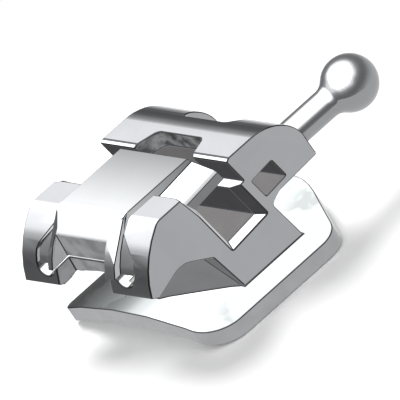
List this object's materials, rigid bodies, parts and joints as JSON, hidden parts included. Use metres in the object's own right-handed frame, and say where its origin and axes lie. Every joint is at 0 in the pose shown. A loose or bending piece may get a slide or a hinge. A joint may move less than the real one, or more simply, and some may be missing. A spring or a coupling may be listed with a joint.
{
  "type": "self-ligating orthodontic bracket",
  "caption": "Small metal tooth bracket with an archwire slot closed by a sliding gate, tie wings, a square side hole, a ball hook on a round post and a curved bonding pad.",
  "frame": {"origin": "bottom centre of the bounding box; the lowest points are the side edges of the bonding pad", "axes": "+Z from the tooth towards the lip, +X along the archwire slot, +Y towards the gum"},
  "size_m": [0.0048, 0.0048, 0.0026],
  "materials": {
    "cast_steel": "polished",
    "gate_steel": "polished",
    "spring_wire": "drawn",
    "turned_steel": "polished",
    "rolled_steel": "polished",
    "stud_foil": "etched"
  },
  "bodies": {
    "bracket": {"bracket_body": "cast_steel", "bonding_pad": "rolled_steel", "retention_studs": "stud_foil", "ball_hook": "turned_steel", "gate_spring": "spring_wire"},
    "gate": {"sliding_gate": "gate_steel"}
  },
  "joints": [
    {"name": "gate_slide", "type": "slide", "parent": "bracket", "child": "gate", "axis": [-0.3528, -0.9285, -0.1157], "range_m": [0, 0.00085498], "deforming": ["gate_spring"]}
  ]
}
